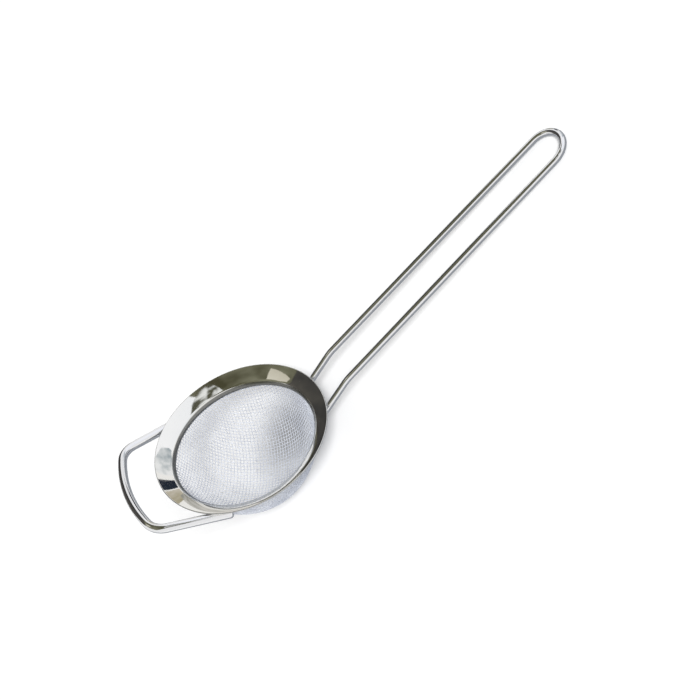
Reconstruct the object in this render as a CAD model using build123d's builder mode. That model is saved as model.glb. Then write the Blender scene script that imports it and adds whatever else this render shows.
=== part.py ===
"""Small hand-held flour sifter: a flared steel collar, a woven mesh bowl and two bent wires.

Everything is drawn level with the rim, in rim_plane, whose Z axis is the bowl's own axis.
rim_plane itself is tilted so that the sifter lies as it does on a table: the bowl's foot and
the end of the handle touch the floor, Z = 0. The origin is the point where the bowl touches,
+X runs towards the handle, and the sifter is symmetric about the XZ plane. Sizes are in mm.
"""

import os
from math import acos, asin, atan2, cos, hypot, radians, sin, tan

from build123d import *

# --- driving dimensions ---------------------------------------------------------------

SHEET = 0.6  # thickness of the collar's sheet
EDGE_ROUND = 0.2  # rounding of cut sheet edges

RIM_RADIUS = 40.0  # top edge of the collar's inner surface
COLLAR_SLOPE = 32.0  # degrees, the cone below the rim's plane
NECK_RADIUS = 33.8  # where the cone turns into the steeper neck
MOUTH_RADIUS = 32.5  # where the neck turns into the upright foot
MOUTH_DEPTH = 5.3  # of the mouth, below the rim
FOOT_DEPTH = 6.2  # lower end of the foot, below the rim
COLLAR_BEND_RADIUS = 0.5

CLOTH = 0.55  # thickness of the woven cloth, which is two wires where they cross
CLOTH_RADIUS = MOUTH_RADIUS + SHEET + CLOTH  # outer face of its clamped band
CLOTH_TOP_DEPTH = 5.8  # upper edge of the cloth, below the rim
CLAMP_DEPTH = 7.5  # lower edge of the clamped band of cloth
BOWL_RADIUS = 31.7  # outer radius of the bowl's spherical lower part
BOWL_CENTRE_DEPTH = 4.6  # centre of that sphere, below the rim
BOWL_SPHERE_ANGLE = 55.0  # degrees from the foot up to where the side straightens

RING_SHEET = 0.6  # thickness of the ring that clamps the cloth to the foot

HANDLE_WIRE = 3.0
HANDLE_ROOT_SLOPE = 35.4  # degrees, along the underside of the collar
HANDLE_SLOPE = 23.0  # degrees, from the kink to the far end
HANDLE_END_X = 35.6  # cut ends, under the collar
HANDLE_KINK_X = 51.7
HANDLE_KINK_RISE = 6.5  # height of the kink above the rim
HANDLE_TIP_X = 175.2  # centre line of the far end
HANDLE_KINK_HALF = 9.8  # half the distance between the legs, up to the kink
HANDLE_TIP_RADIUS = 8.9  # centre line of the U at the far end
HANDLE_KINK_RADIUS = 20.0

REST_WIRE = 4.0
REST_SLOPE = 13.0  # degrees, rising away from the bowl
REST_DEPTH = 9.5  # where its plane crosses the bowl's axis, below the rim
REST_END = (17.5, 32.4)  # cut end: distance forward, distance to the side
REST_CORNER = (50.1, 25.6)  # where an arm and the crossbar would meet
REST_REACH = 54.9  # middle of the crossbar, forward of the bowl's axis
REST_CORNER_RADIUS = 9.2

WIRE_END_ROUND = 0.5  # rounding of every cut wire end
WELD_LENGTH = 5.0
WELD_SHARE = 0.92  # radius of a weld bead, as a share of its wire's radius
WELD_SET = 0.48  # how far a bead sits towards the collar, as a share of the same
HANDLE_WELD_X = 37.6
REST_WELD_FORWARD = 21.5

# --- resting pose ---------------------------------------------------------------------

handle_run = HANDLE_TIP_X - HANDLE_KINK_X
handle_tip_rise = HANDLE_KINK_RISE + handle_run * tan(radians(HANDLE_SLOPE))

# the floor is the common tangent under the bowl's sphere and the wire at the handle's end
tip_above_centre = handle_tip_rise + BOWL_CENTRE_DEPTH
tip_distance = hypot(HANDLE_TIP_X, tip_above_centre)
tip_angle = atan2(tip_above_centre, HANDLE_TIP_X)
tilt = tip_angle + asin((BOWL_RADIUS - HANDLE_WIRE / 2) / tip_distance)

rim_plane = Plane(
    origin=(BOWL_CENTRE_DEPTH * sin(tilt), 0, BOWL_RADIUS + BOWL_CENTRE_DEPTH * cos(tilt)),
    x_dir=(cos(tilt), 0, -sin(tilt)),
    z_dir=(sin(tilt), 0, cos(tilt)),
)
bowl_axis = Axis(rim_plane.origin, rim_plane.z_dir)

# profiles of turned pieces: local x is the radius, local y the height above the rim
profile_plane = Plane(origin=rim_plane.origin, x_dir=rim_plane.x_dir, z_dir=-rim_plane.y_dir)

# the front rest is bent flat, in a plane that rises away from the bowl
rest_slope = radians(REST_SLOPE)
rest_plane = Plane(
    origin=rim_plane.from_local_coords((0, 0, -REST_DEPTH)),
    x_dir=-rim_plane.x_dir * cos(rest_slope) + rim_plane.z_dir * sin(rest_slope),
    z_dir=rim_plane.x_dir * sin(rest_slope) + rim_plane.z_dir * cos(rest_slope),
)


def cone_height(radius):
    """Height of the collar's inner surface at a radius, negative below the rim."""
    return (radius - RIM_RADIUS) * tan(radians(COLLAR_SLOPE))


def towards_collar(point):
    """Unit vector from a point under the collar, square to the cone above it."""
    local = rim_plane.to_local_coords(point)
    slope = radians(COLLAR_SLOPE)
    inward = -sin(slope) / hypot(local.X, local.Y)
    tip = rim_plane.from_local_coords((local.X * inward, local.Y * inward, cos(slope)))
    return (tip - rim_plane.origin).normalized()


def weld_plane(path, point, wire_diameter):
    """The plane across a wire at a weld, centred where the bead fills the wire's gap."""
    centre = point + towards_collar(point) * (WELD_SET * wire_diameter / 2)
    return Plane(origin=centre, z_dir=path % path.param_at_point(point))


# --- collar: the flared rim, its neck and its upright foot ----------------------------

with BuildPart() as rim_collar:
    with BuildSketch(profile_plane):
        with BuildLine():
            FilletPolyline(
                (RIM_RADIUS, 0),
                (NECK_RADIUS, cone_height(NECK_RADIUS)),
                (MOUTH_RADIUS, -MOUTH_DEPTH),
                (MOUTH_RADIUS, -FOOT_DEPTH),
                radius=COLLAR_BEND_RADIUS,
            )
            offset(amount=SHEET, side=Side.LEFT)
        make_face()
    revolve(axis=bowl_axis)
    rim_edges = edges().filter_by(GeomType.CIRCLE).sort_by(SortBy.RADIUS)[-2:]
    fillet(rim_edges, EDGE_ROUND)

# --- mesh bowl: a ball-shaped foot, straighter sides, and a band under the clamp ------

with BuildPart() as mesh_bowl:
    with BuildSketch(profile_plane):
        with BuildLine():
            ball = CenterArc(
                (0, -BOWL_CENTRE_DEPTH), BOWL_RADIUS, start_angle=-90, arc_size=BOWL_SPHERE_ANGLE
            )
            flank = TangentArc(ball @ 1, (CLOTH_RADIUS, -CLAMP_DEPTH), tangent=ball % 1)
            Line(flank @ 1, (CLOTH_RADIUS, -CLOTH_TOP_DEPTH))
            offset(amount=CLOTH, side=Side.LEFT)
        make_face()
    revolve(axis=bowl_axis)

# --- clamp ring: a plain band that holds the cloth against the collar's foot ----------

with BuildPart() as clamp_ring:
    with BuildSketch(profile_plane):
        with Locations((CLOTH_RADIUS, -CLAMP_DEPTH)):
            Rectangle(RING_SHEET, CLAMP_DEPTH - CLOTH_TOP_DEPTH, align=(Align.MIN, Align.MIN))
    revolve(axis=bowl_axis)
    outer_edges = edges().filter_by(GeomType.CIRCLE).sort_by(SortBy.RADIUS)[-2:]
    fillet(outer_edges, EDGE_ROUND)

# --- handle: one wire bent in a long U, both ends under the collar --------------------


def handle_corners(side):
    """Cut end, kink and start of the U, on one side."""
    end_drop = (HANDLE_KINK_X - HANDLE_END_X) * tan(radians(HANDLE_ROOT_SLOPE))
    leg = hypot(handle_run, handle_tip_rise - HANDLE_KINK_RISE)
    # the leg is a tangent from the kink to the U's circle, both taken in the handle's plane
    to_centre = leg - HANDLE_TIP_RADIUS
    reach = hypot(to_centre, HANDLE_KINK_HALF)
    turn = atan2(HANDLE_KINK_HALF, -to_centre) - acos(HANDLE_TIP_RADIUS / reach)
    touch = to_centre + HANDLE_TIP_RADIUS * cos(turn)
    slope = radians(HANDLE_SLOPE)
    return [
        (HANDLE_END_X, side * HANDLE_KINK_HALF, HANDLE_KINK_RISE - end_drop),
        (HANDLE_KINK_X, side * HANDLE_KINK_HALF, HANDLE_KINK_RISE),
        (
            HANDLE_KINK_X + touch * cos(slope),
            side * HANDLE_TIP_RADIUS * sin(turn),
            HANDLE_KINK_RISE + touch * sin(slope),
        ),
    ]


with BuildLine(rim_plane) as handle_line:
    near = handle_corners(-1)
    far = handle_corners(1)
    FilletPolyline(*near, radius=HANDLE_KINK_RADIUS)
    ThreePointArc(near[-1], (HANDLE_TIP_X, 0, handle_tip_rise), far[-1])
    FilletPolyline(*reversed(far), radius=HANDLE_KINK_RADIUS)
handle_path = handle_line.wire()

with BuildPart() as handle:
    with BuildSketch(Plane(origin=handle_path @ 0, z_dir=handle_path % 0)):
        Circle(HANDLE_WIRE / 2)
    sweep(path=handle_path)
    fillet(handle.faces().filter_by(GeomType.PLANE).edges(), WIRE_END_ROUND)

# --- front rest: a thicker wire, bent flat, that hooks over the edge of a bowl --------

with BuildLine(rest_plane) as rest_line:
    corner_forward, corner_across = REST_CORNER
    Line((REST_END[0], -REST_END[1]), (corner_forward, -corner_across))
    ThreePointArc((corner_forward, -corner_across), (REST_REACH, 0), REST_CORNER)
    Line(REST_CORNER, REST_END)
    fillet(rest_line.vertices().sort_by(Axis.Z)[-2:], REST_CORNER_RADIUS)
rest_path = rest_line.wire()

with BuildPart() as front_rest:
    with BuildSketch(Plane(origin=rest_path @ 0, z_dir=rest_path % 0)):
        Circle(REST_WIRE / 2)
    sweep(path=rest_path)
    fillet(front_rest.faces().filter_by(GeomType.PLANE).edges(), WIRE_END_ROUND)

# --- welds: a bead at each of the four places where a wire lies under the collar ------

handle_weld_rise = (HANDLE_WELD_X - HANDLE_KINK_X) * tan(radians(HANDLE_ROOT_SLOPE))

with BuildPart() as handle_welds:
    for side in (-1, 1):
        on_leg = rim_plane.from_local_coords(
            (HANDLE_WELD_X, side * HANDLE_KINK_HALF, HANDLE_KINK_RISE + handle_weld_rise)
        )
        with BuildSketch(weld_plane(handle_path, on_leg, HANDLE_WIRE)):
            Circle(WELD_SHARE * HANDLE_WIRE / 2)
        extrude(amount=WELD_LENGTH / 2, both=True)
    add(handle.part, mode=Mode.SUBTRACT)
    add(rim_collar.part, mode=Mode.SUBTRACT)

along_arm = (REST_WELD_FORWARD - REST_END[0]) / (REST_CORNER[0] - REST_END[0])
rest_weld_across = REST_END[1] + along_arm * (REST_CORNER[1] - REST_END[1])

with BuildPart() as rest_welds:
    for side in (-1, 1):
        on_arm = rest_plane.from_local_coords((REST_WELD_FORWARD, side * rest_weld_across, 0))
        with BuildSketch(weld_plane(rest_path, on_arm, REST_WIRE)):
            Circle(WELD_SHARE * REST_WIRE / 2)
        extrude(amount=WELD_LENGTH / 2, both=True)
    add(front_rest.part, mode=Mode.SUBTRACT)
    add(rim_collar.part, mode=Mode.SUBTRACT)

# --- one file for each piece ----------------------------------------------------------

os.makedirs("parts", exist_ok=True)

rim_collar.part.label = "rim_collar"
mesh_bowl.part.label = "mesh_bowl"
clamp_ring.part.label = "clamp_ring"
handle.part.label = "handle"
front_rest.part.label = "front_rest"
handle_welds.part.label = "handle_welds"
rest_welds.part.label = "rest_welds"

export_step(rim_collar.part, "parts/rim_collar.step")
export_step(mesh_bowl.part, "parts/mesh_bowl.step")
export_step(clamp_ring.part, "parts/clamp_ring.step")
export_step(handle.part, "parts/handle.step")
export_step(front_rest.part, "parts/front_rest.step")
export_step(handle_welds.part, "parts/handle_welds.step")
export_step(rest_welds.part, "parts/rest_welds.step")
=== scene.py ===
"""Looks of a small flour sifter: a polished flared collar, a bowl of woven wire and two bent wires.

Every piece is modelled level with the rim, in millimetres, with the bowl's axis as Z and the
handle towards +X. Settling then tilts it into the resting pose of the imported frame, in metres,
where the foot of the bowl and the far end of the handle touch the floor, Z = 0.
"""

import logging
import math
from dataclasses import dataclass, field
from enum import Enum
from typing import Callable

import bmesh
import bpy
from mathutils import Matrix, Quaternion, Vector

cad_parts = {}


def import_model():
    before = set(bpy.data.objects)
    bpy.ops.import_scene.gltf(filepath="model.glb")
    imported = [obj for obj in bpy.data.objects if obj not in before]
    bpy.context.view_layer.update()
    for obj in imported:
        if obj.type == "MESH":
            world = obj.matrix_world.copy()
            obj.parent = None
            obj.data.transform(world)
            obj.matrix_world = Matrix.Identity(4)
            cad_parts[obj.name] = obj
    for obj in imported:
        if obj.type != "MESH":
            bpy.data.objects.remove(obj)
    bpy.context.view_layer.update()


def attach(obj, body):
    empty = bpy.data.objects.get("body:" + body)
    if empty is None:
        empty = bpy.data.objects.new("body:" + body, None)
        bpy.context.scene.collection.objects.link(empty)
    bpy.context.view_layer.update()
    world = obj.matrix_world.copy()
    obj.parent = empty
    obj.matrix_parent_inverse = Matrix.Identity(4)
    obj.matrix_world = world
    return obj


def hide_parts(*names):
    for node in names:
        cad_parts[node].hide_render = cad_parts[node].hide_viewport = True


LOG = logging.getLogger("flour_sifter")
MM = 0.001
BODY = "root"

# Sizes that several pieces share, in millimetres and degrees, with depths below the rim.
RIM_RADIUS = 40.0
FLARE_SLOPE = 32.0
BALL_RADIUS = 31.7
BALL_DEPTH = 4.6
CLOTH_THICKNESS = 0.55
CLOTH_TOP_DEPTH = 5.8
CLAMP_DEPTH = 7.5
HANDLE_WIRE = 3.0
HANDLE_TIP_X = 175.2

# Distances in millimetres below which two places count as one.
SAME_PLACE = 0.02
MERGE_DISTANCE = 0.001
WIRE_MERGE_DISTANCE = 0.0005

Colour = tuple[float, float, float]
Point = tuple[float, float, float]
Piece = bpy.types.Object
Finish = bpy.types.Material
Tree = bpy.types.NodeTree
Node = bpy.types.Node
Socket = bpy.types.NodeSocket


class Slot(Enum):
    """The record's material slots."""

    POLISHED_SHEET = "polished_sheet"
    SATIN_SHEET = "satin_sheet"
    BRIGHT_WIRE = "bright_wire"
    WOVEN_MESH = "woven_mesh"
    WELD_METAL = "weld_metal"


class Side(Enum):
    """The two sides of the sifter, seen from the front rest towards the handle."""

    NEAR = -1
    FAR = 1


class Family(Enum):
    """The two sets of wires in plain woven cloth, and which way each goes at the first crossing."""

    WARP = 1
    WEFT = -1


# --- resting pose -----------------------------------------------------------------------


@dataclass(frozen=True)
class RestingPose:
    """How the rim-level shape lies on the floor: on the ball of its bowl and its handle's end."""

    ball_radius: float = BALL_RADIUS
    ball_depth: float = BALL_DEPTH
    tip_x: float = HANDLE_TIP_X
    tip_rise: float = 58.923
    wire_radius: float = HANDLE_WIRE / 2.0

    def tilt(self) -> float:
        """Lean of the bowl's axis towards the handle.

        Returns:
            The lean, in radians.
        """
        above = self.tip_rise + self.ball_depth
        reach = math.hypot(self.tip_x, above)
        return math.atan2(above, self.tip_x) + math.asin((self.ball_radius - self.wire_radius) / reach)

    def turn(self) -> Matrix:
        """Turn from rim-level directions to resting ones."""
        return Matrix.Rotation(self.tilt(), 4, "Y")

    def origin(self) -> Vector:
        """Centre of the rim in the resting pose.

        Returns:
            The point, in millimetres.
        """
        tilt = self.tilt()
        rise = self.ball_radius + self.ball_depth * math.cos(tilt)
        return Vector((self.ball_depth * math.sin(tilt), 0.0, rise))

    def matrix(self) -> Matrix:
        """Rim-level millimetres to resting metres."""
        return Matrix.Scale(MM, 4) @ Matrix.Translation(self.origin()) @ self.turn()


POSE = RestingPose()


# --- bench work: small operations that every piece uses -------------------------------------


def clear_selection() -> None:
    """Leaves edit mode and deselects everything."""
    if bpy.context.mode != "OBJECT":
        bpy.ops.object.mode_set(mode="OBJECT")
    bpy.ops.object.select_all(action="DESELECT")


def pick(piece: Piece) -> None:
    """Makes one piece the only selected and active one.

    Args:
        piece: The object to work on.
    """
    clear_selection()
    piece.select_set(True)
    bpy.context.view_layer.objects.active = piece


def select_edges(piece: Piece, test: Callable[[Vector, Vector], bool]) -> None:
    """Selects edges by their place, in edit mode, and leaves edge mode on.

    Args:
        piece: The object being edited.
        test: Takes an edge's two ends and says whether it is wanted.
    """
    bpy.ops.mesh.select_mode(type="EDGE")
    bpy.ops.mesh.select_all(action="DESELECT")
    mesh = bmesh.from_edit_mesh(piece.data)
    for edge in mesh.edges:
        if test(edge.verts[0].co, edge.verts[1].co):
            edge.select_set(True)
    mesh.select_flush_mode()
    bmesh.update_edit_mesh(piece.data)


def add_modifier(piece: Piece, kind: str, **settings: object) -> None:
    """Adds a modifier and applies it.

    Args:
        piece: The object to modify.
        kind: Blender's modifier type.
        settings: Values of the modifier's own properties.
    """
    pick(piece)
    modifier = piece.modifiers.new(kind.lower(), kind)
    for name, value in settings.items():
        setattr(modifier, name, value)
    bpy.ops.object.modifier_apply(modifier=modifier.name)


def settle(piece: Piece, name: str, smooth_angle: float = 35.0) -> Piece:
    """Cleans a rim-level piece, lays it in the resting pose and smooths it.

    Args:
        piece: The finished shape, in rim-level millimetres.
        name: The piece's name.
        smooth_angle: Edges sharper than this many degrees stay sharp.

    Returns:
        The piece, at the origin, unturned and unscaled.
    """
    pick(piece)
    piece.name = name
    piece.data.name = name
    bpy.ops.object.mode_set(mode="EDIT")
    bpy.ops.mesh.select_all(action="SELECT")
    bpy.ops.mesh.remove_doubles(threshold=MERGE_DISTANCE)
    bpy.ops.mesh.normals_make_consistent(inside=False)
    bpy.ops.object.mode_set(mode="OBJECT")
    piece.matrix_world = POSE.matrix()
    bpy.ops.object.transform_apply(location=True, rotation=True, scale=True)
    bpy.ops.object.shade_smooth_by_angle(angle=math.radians(smooth_angle))
    return piece


def dress(piece: Piece, material: Finish, slot: Slot, *nodes: str) -> None:
    """Gives a piece its finish and body, and hides the CAD nodes that it stands for.

    Args:
        piece: The finished object.
        material: Its finish.
        slot: The record's slot for that finish; not used.
        nodes: CAD nodes that the piece replaces.
    """
    piece.data.materials.clear()
    piece.data.materials.append(material)
    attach(piece, BODY)
    if nodes:
        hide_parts(*nodes)
    LOG.info("%s: %d faces, finish %s", piece.name, len(piece.data.polygons), material.name)


# --- shared shader groups --------------------------------------------------------------------


class ShaderGroup:
    """A node group being made: its sockets, its nodes and the wires between them."""

    def __init__(self, name: str) -> None:
        """Starts an empty group.

        Args:
            name: The group's name.
        """
        self.tree = bpy.data.node_groups.new(name, "ShaderNodeTree")
        self.inlet = self.tree.nodes.new("NodeGroupInput")
        self.outlet = self.tree.nodes.new("NodeGroupOutput")

    def socket(
        self, name: str, way: str, kind: str = "NodeSocketFloat", value: float | None = None
    ) -> None:
        """Adds a socket.

        Args:
            name: The socket's name.
            way: INPUT or OUTPUT.
            kind: Blender's socket type.
            value: Default of a number socket.
        """
        made = self.tree.interface.new_socket(name=name, in_out=way, socket_type=kind)
        if value is not None:
            made.default_value = value

    def node(self, kind: str, **settings: object) -> Node:
        """Adds a node and sets its properties."""
        return make_node(self.tree, kind, **settings)

    def math(self, operation: str, first: object, second: object = 0.0) -> Socket:
        """Adds a Math node and returns its output."""
        return join_math(self.tree, operation, first, second)

    def link(self, source: Socket, target: Socket) -> None:
        """Joins two sockets."""
        self.tree.links.new(source, target)


def make_node(tree: Tree, kind: str, **settings: object) -> Node:
    """Adds a node to a tree.

    Args:
        tree: The node tree.
        kind: The node's type.
        settings: Its properties.

    Returns:
        The new node.
    """
    made = tree.nodes.new(kind)
    for name, value in settings.items():
        setattr(made, name, value)
    return made


def join_math(tree: Tree, operation: str, first: object, second: object = 0.0) -> Socket:
    """Adds a Math node.

    Args:
        tree: The node tree.
        operation: Blender's name of the operation.
        first: A socket or a number.
        second: A socket or a number.

    Returns:
        The node's output.
    """
    made = make_node(tree, "ShaderNodeMath", operation=operation)
    for index, value in enumerate((first, second)):
        if isinstance(value, Socket):
            tree.links.new(value, made.inputs[index])
        else:
            made.inputs[index].default_value = value
    return made.outputs[0]


def flat_radius(tree: Tree, split: Node) -> Socket:
    """Distance from the Z axis, worked out from separate coordinates.

    Args:
        tree: The node tree.
        split: A Separate XYZ node of that tree.

    Returns:
        The distance.
    """
    across = join_math(tree, "MULTIPLY", split.outputs["X"], split.outputs["X"])
    along = join_math(tree, "MULTIPLY", split.outputs["Y"], split.outputs["Y"])
    return join_math(tree, "SQRT", join_math(tree, "ADD", across, along))


def smooth_mask(tree: Tree, value: Socket, low: float, high: float) -> Socket:
    """A smooth mask, 0 below one value and 1 above another.

    Args:
        tree: The node tree.
        value: What the mask follows.
        low: Where the mask leaves 0.
        high: Where it reaches 1.

    Returns:
        The mask.
    """
    node = make_node(tree, "ShaderNodeMapRange", interpolation_type="SMOOTHSTEP")
    node.inputs["From Min"].default_value = low
    node.inputs["From Max"].default_value = high
    tree.links.new(value, node.inputs["Value"])
    return node.outputs["Result"]


def mix_colours(tree: Tree, mask: Socket, low: Colour | Socket, high: Colour) -> Socket:
    """Mixes two colours.

    Args:
        tree: The node tree.
        mask: 0 for the first colour, 1 for the second.
        low: The first colour, or a socket that gives it.
        high: The second colour.

    Returns:
        The mixed colour.
    """
    node = make_node(tree, "ShaderNodeMix", data_type="RGBA")
    tree.links.new(mask, node.inputs["Factor"])
    if isinstance(low, Socket):
        tree.links.new(low, node.inputs["A"])
    else:
        node.inputs["A"].default_value = (*low, 1.0)
    node.inputs["B"].default_value = (*high, 1.0)
    return node.outputs["Result"]


def noise_height_group() -> Tree:
    """Soft waviness of pressed sheet and drawn wire, for a bump.

    Returns:
        A group with inputs Vector, Wave Scale, Fine Scale and Fine Share, and output Height.
    """
    group = ShaderGroup("surface waviness")
    group.socket("Vector", "INPUT", "NodeSocketVector")
    group.socket("Wave Scale", "INPUT", value=60.0)
    group.socket("Fine Scale", "INPUT", value=900.0)
    group.socket("Fine Share", "INPUT", value=0.05)
    group.socket("Height", "OUTPUT")
    wave = group.node("ShaderNodeTexNoise")
    fine = group.node("ShaderNodeTexNoise")
    wave.inputs["Detail"].default_value = 1.0
    fine.inputs["Detail"].default_value = 2.0
    for noise, scale in ((wave, "Wave Scale"), (fine, "Fine Scale")):
        group.link(group.inlet.outputs["Vector"], noise.inputs["Vector"])
        group.link(group.inlet.outputs[scale], noise.inputs["Scale"])
    fine_part = group.math("MULTIPLY", fine.outputs["Fac"], group.inlet.outputs["Fine Share"])
    group.link(group.math("ADD", wave.outputs["Fac"], fine_part), group.outlet.inputs["Height"])
    return group.tree


def handling_group() -> Tree:
    """Faint smears and fine scratches, as a value around a base roughness.

    Returns:
        A group with inputs Vector, Base and Spread, and output Roughness.
    """
    group = ShaderGroup("handling marks")
    group.socket("Vector", "INPUT", "NodeSocketVector")
    group.socket("Base", "INPUT", value=0.1)
    group.socket("Spread", "INPUT", value=0.05)
    group.socket("Roughness", "OUTPUT")
    smear = group.node("ShaderNodeTexNoise")
    smear.inputs["Scale"].default_value = 110.0
    smear.inputs["Detail"].default_value = 4.0
    smear.inputs["Distortion"].default_value = 0.6
    group.link(group.inlet.outputs["Vector"], smear.inputs["Vector"])
    spread = group.node("ShaderNodeMapRange")
    spread.inputs["From Min"].default_value = 0.42
    spread.inputs["From Max"].default_value = 0.68
    group.link(smear.outputs["Fac"], spread.inputs["Value"])
    added = group.math("MULTIPLY", spread.outputs["Result"], group.inlet.outputs["Spread"])
    group.link(group.math("ADD", added, group.inlet.outputs["Base"]), group.outlet.inputs["Roughness"])
    return group.tree


def turned_lines_group() -> Tree:
    """Fine rings left by polishing sheet as it turns, about the Z axis of the vector.

    Returns:
        A group with inputs Vector and Density, and output Height.
    """
    group = ShaderGroup("turned lines")
    group.socket("Vector", "INPUT", "NodeSocketVector")
    group.socket("Density", "INPUT", value=9000.0)
    group.socket("Height", "OUTPUT")
    split = group.node("ShaderNodeSeparateXYZ")
    group.link(group.inlet.outputs["Vector"], split.inputs[0])
    place = group.math("ADD", flat_radius(group.tree, split), split.outputs["Z"])
    lines = group.node("ShaderNodeTexNoise", noise_dimensions="1D")
    lines.inputs["Detail"].default_value = 3.0
    lines.inputs["Scale"].default_value = 1.0
    group.link(group.math("MULTIPLY", place, group.inlet.outputs["Density"]), lines.inputs["W"])
    group.link(lines.outputs["Fac"], group.outlet.inputs["Height"])
    return group.tree


@dataclass
class Effects:
    """The shader groups that more than one finish places."""

    waviness: Tree = field(default_factory=noise_height_group)
    handling: Tree = field(default_factory=handling_group)
    turned: Tree = field(default_factory=turned_lines_group)


# --- finishes ------------------------------------------------------------------------------------


@dataclass
class FinishBench:
    """A new metal material with the nodes that every finish starts from."""

    name: str
    colour: Colour
    effects: Effects

    def __post_init__(self) -> None:
        """Makes the material, its shader and its rim-level coordinates."""
        self.material = bpy.data.materials.new(self.name)
        self.material.use_nodes = True
        self.tree = self.material.node_tree
        self.shader = self.tree.nodes["Principled BSDF"]
        self.shader.inputs["Base Color"].default_value = (*self.colour, 1.0)
        self.shader.inputs["Metallic"].default_value = 1.0
        self.place = make_node(self.tree, "ShaderNodeTexCoord").outputs["Object"]

    def rim_level(self) -> Socket:
        """Object coordinates turned level with the rim, centred on the bowl's axis.

        Returns:
            The coordinates, in metres.
        """
        mapping = make_node(self.tree, "ShaderNodeMapping", vector_type="POINT")
        mapping.inputs["Rotation"].default_value = (0.0, -POSE.tilt(), 0.0)
        back = POSE.turn().inverted() @ (POSE.origin() * MM)
        mapping.inputs["Location"].default_value = -back
        self.tree.links.new(self.place, mapping.inputs["Vector"])
        return mapping.outputs["Vector"]

    def group(self, tree: Tree, **values: object) -> Socket:
        """Places a shared group.

        Args:
            tree: The group.
            values: Sockets or numbers for its inputs, with _ for a space in a name.

        Returns:
            The group's only output.
        """
        node = make_node(self.tree, "ShaderNodeGroup", node_tree=tree)
        for name, value in values.items():
            target = node.inputs[name.replace("_", " ")]
            if isinstance(value, Socket):
                self.tree.links.new(value, target)
            else:
                target.default_value = value
        return node.outputs[0]

    def handled(self, base: float, spread: float) -> Socket:
        """Roughness with faint smears and scratches."""
        return self.group(self.effects.handling, Vector=self.place, Base=base, Spread=spread)

    def waves(self, wave: float, fine: float, share: float) -> Socket:
        """Height of the surface's waviness, with a share of finer grain."""
        return self.group(
            self.effects.waviness, Vector=self.place, Wave_Scale=wave, Fine_Scale=fine, Fine_Share=share
        )

    def patches(self, scale: float, low: float, high: float) -> Socket:
        """Makes a mask of soft patches.

        Args:
            scale: Of the noise that shapes them.
            low: Noise at which the mask leaves 0.
            high: Noise at which it reaches 1.

        Returns:
            The mask.
        """
        noise = make_node(self.tree, "ShaderNodeTexNoise")
        noise.inputs["Scale"].default_value = scale
        self.tree.links.new(self.place, noise.inputs["Vector"])
        return self.ramp(noise.outputs["Fac"], low, high)

    def bump(self, height: Socket, distance: float, strength: float) -> None:
        """Feeds a height to the shader's normal through a bump.

        Args:
            height: The height, 0 to 1.
            distance: Depth of a full height, in metres.
            strength: How much of the bump shows.
        """
        bump = make_node(self.tree, "ShaderNodeBump")
        bump.inputs["Distance"].default_value = distance
        bump.inputs["Strength"].default_value = strength
        self.tree.links.new(height, bump.inputs["Height"])
        self.tree.links.new(bump.outputs["Normal"], self.shader.inputs["Normal"])

    def feed(self, value: Socket, socket: str) -> None:
        """Feeds a value to one of the shader's sockets."""
        self.tree.links.new(value, self.shader.inputs[socket])

    def math(self, operation: str, first: object, second: object = 0.0) -> Socket:
        """Adds a Math node and returns its output."""
        return join_math(self.tree, operation, first, second)

    def ramp(self, value: Socket, low: float, high: float) -> Socket:
        """A smooth mask, 0 below low and 1 above high."""
        return smooth_mask(self.tree, value, low, high)

    def mix(self, mask: Socket, low: Colour | Socket, high: Colour) -> Socket:
        """A colour between two others, by a mask."""
        return mix_colours(self.tree, mask, low, high)


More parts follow.
